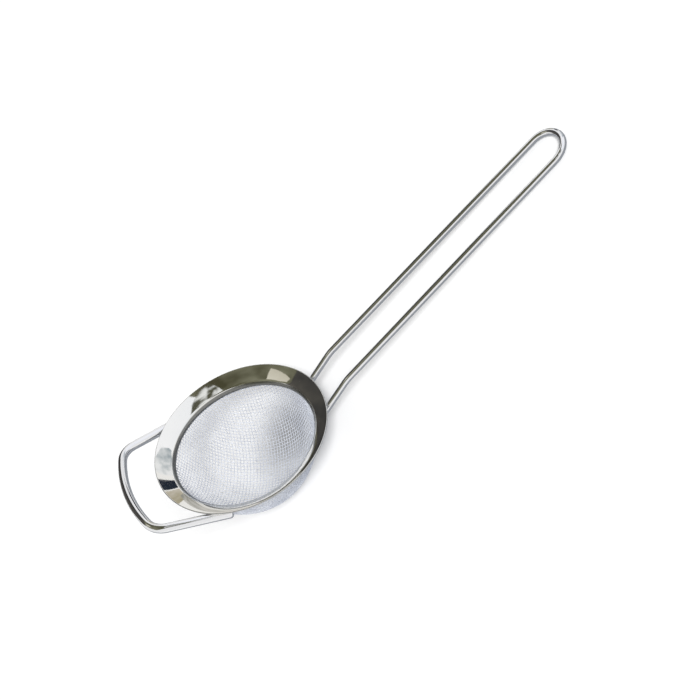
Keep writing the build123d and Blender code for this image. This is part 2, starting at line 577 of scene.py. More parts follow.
@dataclass(frozen=True)
class PolishedSheet:
    """Mirror-polished stainless sheet whose neck, below the flare, is left satin."""

    colour: Colour = (0.80, 0.79, 0.76)
    neck_colour: Colour = (0.21, 0.21, 0.20)
    roughness: float = 0.035
    neck_roughness: float = 0.24
    neck_top: float = -4.30 * MM
    neck_blend: float = 0.20 * MM
    edge_colour: Colour = (0.55, 0.55, 0.55)
    edge_roughness: float = 0.22
    edge_depth: float = 0.62 * MM
    edge_start: float = 0.04 * MM
    edge_full: float = 0.16 * MM
    edge_fade: float = 0.10 * MM
    rim_radius: float = RIM_RADIUS * MM
    slope: float = FLARE_SLOPE
    smears: float = 0.05
    wave_scale: float = 75.0
    fine_scale: float = 1400.0
    fine_share: float = 0.01
    ring_density: float = 5200.0
    ring_share: float = 0.006
    waviness: float = 0.12 * MM
    bump_strength: float = 1.0

    def material(self, effects: Effects) -> Finish:
        """Makes the finish.

        Args:
            effects: The shared shader groups.

        Returns:
            The material.
        """
        bench = FinishBench("polished sheet", self.colour, effects)
        level = bench.rim_level()
        split = make_node(bench.tree, "ShaderNodeSeparateXYZ")
        bench.tree.links.new(level, split.inputs[0])
        low, high = self.neck_top - self.neck_blend, self.neck_top + self.neck_blend
        flare = bench.ramp(split.outputs["Z"], low, high)
        cut = self.cut_edge(bench, split)
        polished = bench.mix(flare, self.neck_colour, self.colour)
        bench.feed(bench.mix(cut, polished, self.edge_colour), "Base Color")
        smears = bench.handled(self.roughness, self.smears)
        satin = bench.math("MULTIPLY", bench.math("SUBTRACT", 1.0, flare), self.neck_roughness)
        edge = bench.math("MULTIPLY", cut, self.edge_roughness)
        bench.feed(bench.math("ADD", bench.math("ADD", smears, satin), edge), "Roughness")
        waves = bench.waves(self.wave_scale, self.fine_scale, self.fine_share)
        rings = bench.group(effects.turned, Vector=level, Density=self.ring_density)
        height = bench.math("ADD", waves, bench.math("MULTIPLY", rings, self.ring_share))
        bench.bump(height, self.waviness, self.bump_strength)
        return bench.material

    def cut_edge(self, bench: FinishBench, split: Node) -> Socket:
        """Mask of the sheet's cut edge, round the top of the rim.

        Args:
            bench: The material being made.
            split: Its rim-level coordinates, as separate numbers.

        Returns:
            1 on the cut edge and 0 elsewhere.
        """
        past_rim = bench.math("SUBTRACT", flat_radius(bench.tree, split), self.rim_radius)
        flare = bench.math("MULTIPLY", past_rim, math.tan(math.radians(self.slope)))
        under = bench.math("SUBTRACT", flare, split.outputs["Z"])
        below = bench.ramp(under, self.edge_start, self.edge_full)
        near_top = bench.ramp(split.outputs["Z"], -self.edge_depth, -self.edge_depth + self.edge_fade)
        return bench.math("MULTIPLY", below, near_top)


@dataclass(frozen=True)
class SatinSheet:
    """Stainless sheet with a fine turned grain."""

    colour: Colour = (0.60, 0.60, 0.60)
    roughness: float = 0.26
    smears: float = 0.1
    ring_density: float = 9000.0
    ring_height: float = 0.02 * MM
    bump_strength: float = 0.6

    def material(self, effects: Effects) -> Finish:
        """Makes the finish.

        Args:
            effects: The shared shader groups.

        Returns:
            The material.
        """
        bench = FinishBench("satin sheet", self.colour, effects)
        bench.feed(bench.handled(self.roughness, self.smears), "Roughness")
        rings = bench.group(effects.turned, Vector=bench.rim_level(), Density=self.ring_density)
        bench.bump(rings, self.ring_height, self.bump_strength)
        return bench.material


@dataclass(frozen=True)
class BrightWire:
    """Polished drawn wire, slightly softer than the sheet."""

    colour: Colour = (0.78, 0.78, 0.79)
    roughness: float = 0.05
    smears: float = 0.07
    wave_scale: float = 140.0
    fine_scale: float = 2600.0
    fine_share: float = 0.06
    waviness: float = 0.08 * MM
    bump_strength: float = 0.5

    def material(self, effects: Effects) -> Finish:
        """Makes the finish.

        Args:
            effects: The shared shader groups.

        Returns:
            The material.
        """
        bench = FinishBench("bright wire", self.colour, effects)
        bench.feed(bench.handled(self.roughness, self.smears), "Roughness")
        waves = bench.waves(self.wave_scale, self.fine_scale, self.fine_share)
        bench.bump(waves, self.waviness, self.bump_strength)
        return bench.material


@dataclass(frozen=True)
class WovenWire:
    """Fine stainless wire of the cloth, a little cooler and duller where it has been pressed."""

    colour: Colour = (0.80, 0.83, 0.90)
    dull: Colour = (0.67, 0.70, 0.78)
    metallic: float = 0.30
    roughness: float = 0.24
    smears: float = 0.12
    patch_scale: float = 130.0
    patch_low: float = 0.35
    patch_high: float = 0.65

    def material(self, effects: Effects) -> Finish:
        """Makes the finish.

        Args:
            effects: The shared shader groups.

        Returns:
            The material.
        """
        bench = FinishBench("woven wire", self.colour, effects)
        bench.shader.inputs["Metallic"].default_value = self.metallic
        patches = bench.patches(self.patch_scale, self.patch_low, self.patch_high)
        bench.feed(bench.mix(patches, self.dull, self.colour), "Base Color")
        bench.feed(bench.handled(self.roughness, self.smears), "Roughness")
        return bench.material


@dataclass(frozen=True)
class WeldMetal:
    """Spot weld, dulled and faintly straw coloured by its heat."""

    colour: Colour = (0.50, 0.48, 0.45)
    tint: Colour = (0.42, 0.34, 0.24)
    roughness: float = 0.36
    smears: float = 0.2
    patch_scale: float = 420.0
    patch_low: float = 0.4
    patch_high: float = 0.7
    grain_scale: float = 900.0
    fine_scale: float = 3500.0
    fine_share: float = 0.4
    grain_height: float = 0.15 * MM
    bump_strength: float = 0.7

    def material(self, effects: Effects) -> Finish:
        """Makes the finish.

        Args:
            effects: The shared shader groups.

        Returns:
            The material.
        """
        bench = FinishBench("weld metal", self.colour, effects)
        patches = bench.patches(self.patch_scale, self.patch_low, self.patch_high)
        bench.feed(bench.mix(patches, self.colour, self.tint), "Base Color")
        bench.feed(bench.handled(self.roughness, self.smears), "Roughness")
        grains = bench.waves(self.grain_scale, self.fine_scale, self.fine_share)
        bench.bump(grains, self.grain_height, self.bump_strength)
        return bench.material


# --- turned sheet: the collar and the clamp ring ------------------------------------------------


class TurnedSheet:
    """A sheet ring drawn level by level from its first edge, then given its thickness."""

    def __init__(self, radius: float, height: float, segments: int) -> None:
        """Starts the ring with its first edge.

        Args:
            radius: Of that edge, in millimetres.
            height: Of that edge above the rim.
            segments: Number of flats round the ring.
        """
        clear_selection()
        bpy.ops.mesh.primitive_circle_add(
            vertices=segments, radius=radius, fill_type="NOTHING", location=(0.0, 0.0, height)
        )
        self.piece = bpy.context.object
        bpy.ops.object.transform_apply(location=True, rotation=True, scale=True)
        self.radius = radius
        self.height = height
        bpy.ops.object.mode_set(mode="EDIT")
        bpy.ops.mesh.select_all(action="SELECT")

    def draw_to(self, radius: float, height: float) -> None:
        """Extrudes the free edge to a new radius and height.

        Args:
            radius: In millimetres.
            height: Above the rim.
        """
        rise = (0.0, 0.0, height - self.height)
        bpy.ops.mesh.extrude_region_move(TRANSFORM_OT_translate={"value": rise})
        grow = radius / self.radius
        bpy.ops.transform.resize(value=(grow, grow, 1.0), center_override=(0.0, 0.0, 0.0))
        self.radius = radius
        self.height = height

    def round_bend(self, radius: float, height: float, offset: float, segments: int) -> None:
        """Rounds the circle of edges at one radius and height.

        Args:
            radius: The circle's radius.
            height: Its height above the rim.
            offset: How far the rounding reaches from the bend.
            segments: Number of steps across it.
        """

        def on_circle(first: Vector, second: Vector) -> bool:
            """Whether both ends lie on the circle."""
            ends = (first, second)
            at_radius = all(abs(math.hypot(p.x, p.y) - radius) < SAME_PLACE for p in ends)
            return at_radius and all(abs(p.z - height) < SAME_PLACE for p in ends)

        select_edges(self.piece, on_circle)
        bpy.ops.mesh.bevel(offset=offset, segments=segments, affect="EDGES", profile=0.5)

    def thicken(self, thickness: float, edge: float) -> Piece:
        """Gives the sheet its thickness, outwards, and rounds its cut edges.

        Args:
            thickness: Of the sheet.
            edge: Rounding of the cut edges.

        Returns:
            The ring.
        """
        bpy.ops.mesh.select_all(action="SELECT")
        bpy.ops.mesh.normals_make_consistent(inside=False)
        mesh = bmesh.from_edit_mesh(self.piece.data)
        mesh.faces.ensure_lookup_table()
        face = mesh.faces[0]
        middle = face.calc_center_median()
        if face.normal.dot(Vector((middle.x, middle.y, 0.0))) < 0.0:
            bpy.ops.mesh.flip_normals()
        bpy.ops.object.mode_set(mode="OBJECT")
        even = {"use_even_offset": True, "use_quality_normals": True}
        add_modifier(self.piece, "SOLIDIFY", thickness=thickness, offset=1.0, **even)
        sharp = {"limit_method": "ANGLE", "angle_limit": math.radians(60.0)}
        add_modifier(self.piece, "BEVEL", width=edge, segments=3, **sharp)
        return self.piece


@dataclass
class Collar:
    """The flared collar, its satin neck and its upright foot, with the ring that clamps the cloth."""

    sheet: float = 0.6
    edge: float = 0.26
    rim_radius: float = RIM_RADIUS
    slope: float = FLARE_SLOPE
    neck_radius: float = 33.8
    mouth_radius: float = 32.5
    mouth_depth: float = 5.3
    foot_depth: float = 6.2
    bend: float = 0.45
    cloth: float = CLOTH_THICKNESS
    cloth_top_depth: float = CLOTH_TOP_DEPTH
    clamp_depth: float = CLAMP_DEPTH
    ring_sheet: float = 0.6
    lip_height: float = 0.35
    lip_turn: float = 0.08
    bend_steps: int = 5
    segments: int = 288

    def cone_height(self, radius: float) -> float:
        """Height of the flare's inner surface at a radius."""
        return (radius - self.rim_radius) * math.tan(math.radians(self.slope))

    def build_rim(self) -> Piece:
        """Models the collar itself.

        Returns:
            The piece, in the resting pose.
        """
        turned = TurnedSheet(self.rim_radius, 0.0, self.segments)
        neck_height = self.cone_height(self.neck_radius)
        turned.draw_to(self.neck_radius, neck_height)
        turned.draw_to(self.mouth_radius, -self.mouth_depth)
        turned.draw_to(self.mouth_radius, -self.foot_depth)
        turned.round_bend(self.neck_radius, neck_height, self.bend, self.bend_steps)
        turned.round_bend(self.mouth_radius, -self.mouth_depth, self.bend, self.bend_steps)
        return settle(turned.thicken(self.sheet, self.edge), "collar")

    def build_ring(self) -> Piece:
        """Models the clamp ring, with a lip turned in under the cloth.

        Returns:
            The piece, in the resting pose.
        """
        inner = self.mouth_radius + self.sheet + self.cloth
        turned = TurnedSheet(inner, -self.cloth_top_depth, self.segments)
        turned.draw_to(inner, -self.clamp_depth + self.lip_height)
        turned.draw_to(inner - self.lip_turn, -self.clamp_depth)
        return settle(turned.thicken(self.ring_sheet, self.edge), "clamp_band")

    def build(self, sheet_finish: Finish, ring_finish: Finish) -> None:
        """Builds and dresses both pieces."""
        dress(self.build_rim(), sheet_finish, Slot.POLISHED_SHEET, "rim_collar")
        dress(self.build_ring(), ring_finish, Slot.SATIN_SHEET, "clamp_ring")


# --- woven cloth ------------------------------------------------------------------------------------


@dataclass
class BowlShape:
    """The middle surface of the cloth: a ball-shaped foot, a straighter flank and an upright band."""

    ball_radius: float = BALL_RADIUS
    ball_depth: float = BALL_DEPTH
    ball_angle: float = 55.0
    cloth: float = CLOTH_THICKNESS
    band_radius: float = 33.65
    band_low: float = CLAMP_DEPTH
    band_top: float = CLOTH_TOP_DEPTH

    def __post_init__(self) -> None:
        """Works out the flank's arc, tangent to the ball and ending at the band."""
        angle = math.radians(self.ball_angle)
        start = Vector((math.sin(angle), -math.cos(angle))) * self.ball_radius
        end = Vector((self.band_radius, self.ball_depth - self.band_low))
        inward = Vector((-math.sin(angle), math.cos(angle)))
        gap = start - end
        self.flank_radius = -gap.length_squared / (2.0 * inward.dot(gap))
        self.flank_centre = start + inward * self.flank_radius
        self.half = self.cloth / 2.0

    def limit_angle(self) -> float:
        """Angle from the foot, at the ball's centre, up to the top of the cloth."""
        return math.atan2(self.band_radius - self.half, self.band_top - self.ball_depth)

    def reach(self, angle: float) -> float:
        """Distance of the cloth's middle from the ball's centre.

        Args:
            angle: From the foot, at the centre of the ball, in radians.

        Returns:
            The distance, in millimetres.
        """
        if angle <= math.radians(self.ball_angle):
            return self.ball_radius - self.half
        ray = Vector((math.sin(angle), -math.cos(angle)))
        along = ray.dot(self.flank_centre)
        spread = self.flank_centre.length_squared - (self.flank_radius - self.half) ** 2
        flank = along + math.sqrt(along * along - spread)
        return min(flank, (self.band_radius - self.half) / ray.x)

    def place(self, direction: Vector, lift: float) -> Vector:
        """The point of the cloth in a direction from the ball's centre.

        Args:
            direction: Unit vector.
            lift: Distance outwards from the middle surface.

        Returns:
            The point, in rim-level millimetres.
        """
        angle = math.acos(max(-1.0, min(1.0, -direction.z)))
        return direction * (self.reach(angle) + lift) - Vector((0.0, 0.0, self.ball_depth))


@dataclass
class WovenBowl:
    """Plain woven wire cloth pressed into a bowl.

    Wires can't stretch but can shear, so every mesh keeps its four equal sides and the net
    closes one rhombus at a time, outwards from two wires that cross at the foot.
    """

    pitch: float = 1.5
    wire: float = 0.30
    heading: float = -25.0
    crimp: float = 0.405
    bevel_steps: int = 1
    smooth_angle: float = 80.0
    reach_count: int = 46
    shape: BowlShape = field(default_factory=BowlShape)

    def net(self) -> dict[tuple[int, int], Vector]:
        """Directions of all crossings from the ball's centre.

        Returns:
            Unit vectors by the numbers of the two wires that cross.
        """
        step = self.pitch / (self.shape.ball_radius - self.shape.half)
        turn = math.radians(self.heading)
        along = Vector((math.cos(turn), math.sin(turn), 0.0))
        across = Vector((-math.sin(turn), math.cos(turn), 0.0))
        foot = Vector((0.0, 0.0, -1.0))
        found: dict[tuple[int, int], Vector] = {}
        for count in range(-self.reach_count, self.reach_count + 1):
            swing = count * step
            found[count, 0] = along * math.sin(swing) + foot * math.cos(swing)
            found[0, count] = across * math.sin(swing) + foot * math.cos(swing)
        limit = self.shape.limit_angle() + step
        for way_i in (-1, 1):
            for way_j in (-1, 1):
                self.close_quarter(found, way_i, way_j, limit)
        return found

    def close_quarter(
        self, found: dict[tuple[int, int], Vector], way_i: int, way_j: int, limit: float
    ) -> None:
        """Closes the rhombuses of one quarter, from its two edges outwards.

        Args:
            found: The crossings so far, added to here.
            way_i: 1 or -1, the quarter's side along the first wire.
            way_j: 1 or -1, its side along the second wire.
            limit: Angle from the foot past which the net isn't needed.
        """
        for i in range(1, self.reach_count + 1):
            for j in range(1, self.reach_count + 1):
                corner = found.get((way_i * (i - 1), way_j * (j - 1)))
                first = found.get((way_i * (i - 1), way_j * j))
                second = found.get((way_i * i, way_j * (j - 1)))
                if corner is None or first is None or second is None:
                    continue
                if math.acos(-corner.z) > limit:
                    continue
                mirror = first.cross(second).normalized()
                found[way_i * i, way_j * j] = corner - mirror * (2.0 * corner.dot(mirror))

    def wire_points(self, nodes: list[tuple[int, Vector]], phase: int) -> list[Vector]:
        """Centre line of one wire, over and under the wires that it crosses.

        Args:
            nodes: Numbers and directions of its crossings, in order.
            phase: 1 or -1, the way that it passes the crossing numbered 0.

        Returns:
            Points in rim-level millimetres, two for each crossing.
        """
        limit = self.shape.limit_angle()
        lift = self.wire * self.crimp
        points: list[Vector] = []
        for (number, here), (_, following) in zip(nodes, nodes[1:]):
            side = phase if number % 2 == 0 else -phase
            if math.acos(-here.z) < limit:
                points.append(self.shape.place(here, side * lift))
            middle = (here + following).normalized()
            if math.acos(-middle.z) < limit:
                points.append(self.shape.place(middle, 0.0))
        return points

    def build_family(self, family: Family, name: str) -> Piece:
        """Models all the wires that run one way.

        Args:
            family: Warp or weft.
            name: The piece's name.

        Returns:
            The piece, in the resting pose.
        """
        found = self.net()
        curve = bpy.data.curves.new(name, "CURVE")
        curve.dimensions = "3D"
        curve.bevel_depth = self.wire / 2.0
        curve.bevel_resolution = self.bevel_steps
        curve.use_fill_caps = True
        for fixed in range(-self.reach_count, self.reach_count + 1):
            order = range(-self.reach_count, self.reach_count + 1)
            keys = [(fixed, n) if family is Family.WARP else (n, fixed) for n in order]
            nodes = [(n, found[key]) for n, key in zip(order, keys) if key in found]
            phase = family.value if fixed % 2 == 0 else -family.value
            points = self.wire_points(nodes, phase)
            if len(points) < 3:
                continue
            spline = curve.splines.new("POLY")
            spline.points.add(len(points) - 1)
            for target, point in zip(spline.points, points):
                target.co = (*point, 1.0)
            spline.use_smooth = True
        piece = bpy.data.objects.new(name, curve)
        bpy.context.scene.collection.objects.link(piece)
        pick(piece)
        bpy.ops.object.convert(target="MESH")
        return settle(bpy.context.object, name, self.smooth_angle)

    def build(self, finish: Finish) -> None:
        """Builds and dresses the warp and the weft.

        Args:
            finish: The finish of both.
        """
        warp = self.build_family(Family.WARP, "cloth_warp")
        weft = self.build_family(Family.WEFT, "cloth_weft")
        dress(warp, finish, Slot.WOVEN_MESH, "mesh_bowl")
        dress(weft, finish, Slot.WOVEN_MESH, "mesh_bowl")


# --- bent wires ------------------------------------------------------------------------------------


class BentWire:
    """A round wire made as by hand: a cut end, straight runs, and bends about a pivot."""

    def __init__(self, diameter: float, start: Vector, heading: Vector, sides: int) -> None:
        """Starts the wire with its open cut end.

        Args:
            diameter: Of the wire, in millimetres.
            start: Centre of the cut end.
            heading: Direction in which the wire leaves it.
            sides: Flats round the wire.
        """
        clear_selection()
        turn = heading.to_track_quat("Z", "Y").to_euler()
        bpy.ops.mesh.primitive_circle_add(
            vertices=sides, radius=diameter / 2.0, fill_type="NOTHING", location=start, rotation=turn
        )
        self.piece = bpy.context.object
        bpy.ops.object.transform_apply(location=True, rotation=True, scale=True)
        self.start = start.copy()
        self.tip = start.copy()
        self.heading = heading.normalized()
        bpy.ops.object.mode_set(mode="EDIT")
        bpy.ops.mesh.select_all(action="SELECT")

    def run(self, length: float) -> None:
        """Extrudes the wire straight on.

        Args:
            length: In millimetres.
        """
        move = self.heading * length
        bpy.ops.mesh.extrude_region_move(TRANSFORM_OT_translate={"value": move})
        self.tip += move

    def bend(self, radius: float, inward: Vector, angle: float, steps: int) -> None:
        """Spins the wire's end about a pivot beside it.

        Args:
            radius: Of the wire's centre line.
            inward: Any direction on the pivot's side of the wire.
            angle: In radians.
            steps: Number of sections along the bend.
        """
        inward = (inward - self.heading * inward.dot(self.heading)).normalized()
        pivot = self.tip + inward * radius
        axis = self.heading.cross(inward)
        bpy.ops.mesh.spin(steps=steps, angle=-angle, center=pivot, axis=axis)
        turn = Quaternion(axis, angle)
        self.tip = pivot + turn @ (self.tip - pivot)
        self.heading = turn @ self.heading

    def finish(self, end_round: float) -> Piece:
        """Closes and rounds both cut ends.

        Args:
            end_round: Rounding of the cut ends.

        Returns:
            The wire.
        """
        bpy.ops.mesh.select_all(action="SELECT")
        bpy.ops.mesh.remove_doubles(threshold=WIRE_MERGE_DISTANCE)
        bpy.ops.mesh.select_mode(type="EDGE")
        for centre in (self.start, self.tip):
            reach = 1.02 * self.end_radius(centre)

            def at_end(first: Vector, second: Vector) -> bool:
                """Whether an edge lies on this cut end."""
                return (first - centre).length < reach and (second - centre).length < reach

            select_edges(self.piece, at_end)
            bpy.ops.mesh.edge_face_add()
            bpy.ops.mesh.bevel(offset=end_round, segments=4, affect="EDGES", profile=0.5)
        bpy.ops.object.mode_set(mode="OBJECT")
        return self.piece

    def end_radius(self, centre: Vector) -> float:
        """Distance of the nearest open edge's points from a cut end's centre."""
        mesh = bmesh.from_edit_mesh(self.piece.data)
        return min((v.co - centre).length for v in mesh.verts if v.is_boundary)


@dataclass
class Handle:
    """One wire in a long U: welded roots, a soft kink and two legs that close slightly."""

    wire: float = HANDLE_WIRE
    root_slope: float = 35.4
    slope: float = 23.0
    end_x: float = 35.6
    kink_x: float = 51.7
    kink_rise: float = 6.5
    tip_x: float = HANDLE_TIP_X
    kink_half: float = 9.8
    tip_radius: float = 8.9
    kink_radius: float = 20.0
    end_round: float = 0.5
    weld_x: float = 37.6
    kink_steps: int = 10
    tip_steps: int = 40
    sides: int = 32

    def direction(self) -> Vector:
        """Along the middle of the handle, from the kink to its end."""
        slope = math.radians(self.slope)
        return Vector((math.cos(slope), 0.0, math.sin(slope)))

    def length(self) -> float:
        """From the kink to the middle of the far end."""
        return (self.tip_x - self.kink_x) / math.cos(math.radians(self.slope))

    def root_point(self, x: float, side: Side) -> Vector:
        """A point of the root's centre line, under the collar."""
        drop = (self.kink_x - x) * math.tan(math.radians(self.root_slope))
        return Vector((x, side.value * self.kink_half, self.kink_rise - drop))

    def build_wire(self) -> Piece:
        """Models the handle, from one root round the far end to the other.

        Returns:
            The piece, in the resting pose.
        """
        kink = self.root_point(self.kink_x, Side.NEAR)
        root = self.root_point(self.end_x, Side.NEAR)
        to_centre = self.length() - self.tip_radius
        reach = math.hypot(to_centre, self.kink_half)
        turn = math.atan2(self.kink_half, -to_centre) - math.acos(self.tip_radius / reach)
        middle = Vector((self.kink_x, 0.0, self.kink_rise))
        loop_centre = middle + self.direction() * to_centre
        outward = self.direction() * math.cos(turn) + Vector((0.0, -1.0, 0.0)) * math.sin(turn)
        touch = loop_centre + outward * self.tip_radius
        before = (kink - root).normalized()
        after = (touch - kink).normalized()
        kink_angle = before.angle(after)
        cut = self.kink_radius * math.tan(kink_angle / 2.0)
        leg = (touch - kink).length - cut
        wire = BentWire(self.wire, root, before, self.sides)
        wire.run((kink - root).length - cut)
        wire.bend(self.kink_radius, after, kink_angle, self.kink_steps)
        wire.run(leg)
        wire.bend(self.tip_radius, loop_centre - touch, 2.0 * turn, self.tip_steps)
        wire.run(leg)
        wire.bend(self.kink_radius, -before, kink_angle, self.kink_steps)
        wire.run((kink - root).length - cut)
        gap = (wire.tip - self.root_point(self.end_x, Side.FAR)).length
        LOG.info("handle ends %.3f mm from its mirrored root", gap)
        return settle(wire.finish(self.end_round), "handle_wire")

    def build(self, finish: Finish) -> None:
        """Builds and dresses the handle."""
        dress(self.build_wire(), finish, Slot.BRIGHT_WIRE, "handle")


@dataclass
class FrontRest:
    """The thicker wire in front of the rim, bent flat: two arms, two corners and a bowed crossbar."""

    wire: float = 4.0
    slope: float = 13.0
    depth: float = 9.5
    end: tuple[float, float] = (17.5, 32.4)
    corner: tuple[float, float] = (50.1, 25.6)
    reach: float = 54.9
    corner_radius: float = 9.2
    end_round: float = 1.6
    weld_forward: float = 21.5
    corner_steps: int = 16
    bow_steps: int = 24
    sides: int = 36

    def lift(self, flat: Vector) -> Vector:
        """A direction in the wire's own plane, forward and across, as a rim-level one."""
        slope = math.radians(self.slope)
        return Vector((-flat.x * math.cos(slope), flat.y, flat.x * math.sin(slope)))

    def point(self, flat: Vector) -> Vector:
        """A point of the wire's own plane as a rim-level one."""
        return self.lift(flat) - Vector((0.0, 0.0, self.depth))

    def arm_point(self, forward: float, side: Side) -> Vector:
        """A point on an arm's centre line.

        Args:
            forward: Distance in front of the axis, in millimetres.
            side: Which arm.

        Returns:
            The point, in rim-level millimetres.
        """
        share = (forward - self.end[0]) / (self.corner[0] - self.end[0])
        across = self.end[1] + share * (self.corner[1] - self.end[1])
        return self.point(Vector((forward, side.value * across)))

    def build_wire(self) -> Piece:
        """Models the rest, from one cut end round the crossbar to the other.

        Returns:
            The piece, in the resting pose.
        """
        end = Vector((self.end[0], -self.end[1]))
        corner = Vector((self.corner[0], -self.corner[1]))
        sag = self.reach - corner.x
        bow_radius = (corner.y**2 + sag**2) / (2.0 * sag)
        bow_centre = Vector((self.reach - bow_radius, 0.0))
        along = (corner - end).normalized()
        inward = Vector((-along.y, along.x))
        base = end + inward * self.corner_radius - bow_centre
        half = base.dot(along)
        room = base.length_squared - (bow_radius - self.corner_radius) ** 2
        run = -half + math.sqrt(half * half - room)
        pivot = bow_centre + base + along * run
        to_bow = (pivot - bow_centre).normalized()
        corner_angle = (-inward).angle(to_bow)
        bow_angle = 2.0 * abs(math.atan2(to_bow.y, to_bow.x))
        wire = BentWire(self.wire, self.point(end), self.lift(along), self.sides)
        wire.run(run)
        wire.bend(self.corner_radius, self.lift(inward), corner_angle, self.corner_steps)
        wire.bend(bow_radius, self.lift(-to_bow), bow_angle, self.bow_steps)
        back = self.lift(Vector((-along.x, along.y)))
        wire.bend(self.corner_radius, back, corner_angle, self.corner_steps)
        wire.run(run)
        gap = (wire.tip - self.point(Vector((end.x, -end.y)))).length
        LOG.info("front rest ends %.3f mm from its mirrored start", gap)
        return settle(wire.finish(self.end_round), "rest_wire")

    def build(self, finish: Finish) -> None:
        """Builds and dresses the rest."""
        dress(self.build_wire(), finish, Slot.BRIGHT_WIRE, "front_rest")


# --- welds ------------------------------------------------------------------------------------------


@dataclass
class WeldBeads:
    """The beads that fill the gap between each wire and the underside of the collar."""

    slope: float = FLARE_SLOPE
    half_length: float = 2.4
    set_towards: float = 0.55
    thickness: float = 0.40
    ripple_place: float = 0.5
    ripple_reach: float = 0.1
    ripple_growth: float = 1.06

    def towards_collar(self, point: Vector) -> Vector:
        """Direction from a point under the flare, square to the flare.

        Args:
            point: In rim-level millimetres.

        Returns:
            The unit vector.
        """
        slope = math.radians(self.slope)
        flat = Vector((point.x, point.y, 0.0)).normalized()
        return Vector((0.0, 0.0, math.cos(slope))) - flat * math.sin(slope)

    def bead(self, point: Vector, along: Vector, wire: float) -> Piece:
        """Models one bead: a ball drawn out along the wire, with three shallow ripples.

        Args:
            point: Centre of the wire at the weld.
            along: Direction of the wire.
            wire: Its diameter.

        Returns:
            The bead, in rim-level millimetres.
        """
        clear_selection()
        radius = self.thickness * wire
        bpy.ops.mesh.primitive_uv_sphere_add(segments=24, ring_count=18, radius=radius)
        ball = bpy.context.object
        bpy.ops.object.mode_set(mode="EDIT")
        bpy.ops.mesh.select_all(action="SELECT")
        longer = self.half_length / radius
        bpy.ops.transform.resize(value=(1.0, 1.0, longer), center_override=(0.0, 0.0, 0.0))
        for ripple in (-1, 0, 1):
            centre = ripple * self.half_length * self.ripple_place

            def on_ripple(first: Vector, second: Vector) -> bool:
                """Whether an edge lies on this ripple."""
                reach = self.half_length * self.ripple_reach
                return all(abs(p.z - centre) < reach for p in (first, second))

            select_edges(ball, on_ripple)
            grow = self.ripple_growth
            bpy.ops.transform.resize(value=(grow, grow, 1.0), center_override=(0.0, 0.0, centre))
        bpy.ops.object.mode_set(mode="OBJECT")
        centre = point + self.towards_collar(point) * (self.set_towards * wire / 2.0)
        turn = along.to_track_quat("Z", "Y").to_matrix().to_4x4()
        ball.matrix_world = Matrix.Translation(centre) @ turn
        bpy.ops.object.transform_apply(location=True, rotation=True, scale=True)
        return ball

    def join(self, beads: list[Piece], name: str) -> Piece:
        """Joins the beads of one wire into one piece.

        Args:
            beads: The beads.
            name: The piece's name.

        Returns:
            The piece, in the resting pose.
        """
        pick(beads[0])
        for bead in beads[1:]:
            bead.select_set(True)
        bpy.ops.object.join()
        return settle(beads[0], name)

    def build(self, handle: Handle, rest: FrontRest, finish: Finish) -> None:
        """Builds and dresses the beads of both wires.

        Args:
            handle: The handle that two of them hold.
            rest: The rest that two of them hold.
            finish: Their finish.
        """
        handle_beads = []
        rest_beads = []
        for side in Side:
            start = handle.root_point(handle.weld_x, side)
            along = handle.root_point(handle.kink_x, side) - start
            handle_beads.append(self.bead(start, along, handle.wire))
            start = rest.arm_point(rest.weld_forward, side)
            along = rest.arm_point(rest.corner[0], side) - start
            rest_beads.append(self.bead(start, along, rest.wire))
        dress(self.join(handle_beads, "handle_weld_beads"), finish, Slot.WELD_METAL, "handle_welds")
        dress(self.join(rest_beads, "rest_weld_beads"), finish, Slot.WELD_METAL, "rest_welds")


# --- studio -----------------------------------------------------------------------------------------


def heading_vector(azimuth: float, elevation: float) -> Vector:
    """Unit vector towards an azimuth and an elevation.

    Args:
        azimuth: In degrees, 0 being -Y and 90 being +X.
        elevation: In degrees above the floor.

    Returns:
        The vector.
    """
    turn = math.radians(azimuth)
    rise = math.radians(elevation)
    return Vector((math.sin(turn) * math.cos(rise), -math.cos(turn) * math.cos(rise), math.sin(rise)))


def hide_from_all_but_reflections(card: Piece) -> None:
    """Lets a card show in polished metal only, without a shadow or a light of its own.

    Args:
        card: The card's object.
    """
    card.visible_camera = False
    card.visible_diffuse = False
    card.visible_transmission = False
    card.visible_shadow = False


def bare_material(name: str) -> tuple[Finish, Tree]:
    """Makes a material whose node tree is empty.

    Args:
        name: The material's name.

    Returns:
        The material and its tree.
    """
    material = bpy.data.materials.new(name)
    material.use_nodes = True
    material.node_tree.nodes.clear()
    return material, material.node_tree


def show(tree: Tree, shader: Socket) -> None:
    """Makes a shader the one that its material shows."""
    tree.links.new(shader, make_node(tree, "ShaderNodeOutputMaterial").inputs["Surface"])


def seen_rays(tree: Tree) -> Socket:
    """Tells the rays that show the background: from the camera, off metal or through glass.

    Args:
        tree: The node tree.

    Returns:
        1 for those rays and 0 for all others.
    """
    path = make_node(tree, "ShaderNodeLightPath")
    seen = join_math(tree, "MAXIMUM", path.outputs["Is Camera Ray"], path.outputs["Is Glossy Ray"])
    return join_math(tree, "MAXIMUM", seen, path.outputs["Is Transmission Ray"])


